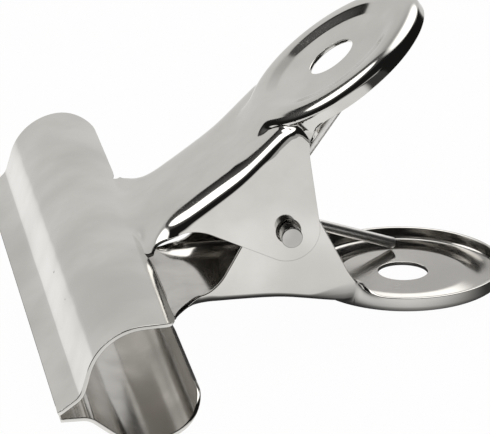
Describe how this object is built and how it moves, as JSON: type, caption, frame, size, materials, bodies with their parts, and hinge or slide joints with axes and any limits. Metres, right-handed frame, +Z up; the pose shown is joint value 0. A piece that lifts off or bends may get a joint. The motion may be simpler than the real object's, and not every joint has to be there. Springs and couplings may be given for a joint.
{
  "type": "bulldog clip",
  "caption": "Sprung steel clip with wide bulged jaws, folded hinge ears and round finger pads that open the jaws when squeezed together.",
  "frame": {"origin": "centre of the bounding box in plan, at the surface the clip lies on", "axes": "+X from the jaws towards the finger pads, +Y along the hinge pin, +Z up, with the clip lying on its lower plate and its jaws shut"},
  "size_m": [0.0606, 0.076, 0.0374],
  "materials": {
    "plated_sheet": "bright nickel plate, fine pits and rub marks",
    "plated_pin": "nickel plate, dull on the cut ends",
    "spring_wire": "drawn spring wire, lightly plated"
  },
  "bodies": {
    "lower": {"lower_plate": "plated_sheet", "hinge_pin": "plated_pin", "torsion_spring": "spring_wire"},
    "upper": {"upper_plate": "plated_sheet"}
  },
  "joints": [
    {"name": "jaw_hinge", "type": "hinge", "parent": "lower", "child": "upper", "pos_m": [0.00182, 0, 0.01292], "axis": [0, 1, 0], "range_deg": [0, 66], "stiffness_Nm_per_rad": 0.47, "springref_deg": -40.11, "deforming": ["torsion_spring"]}
  ]
}
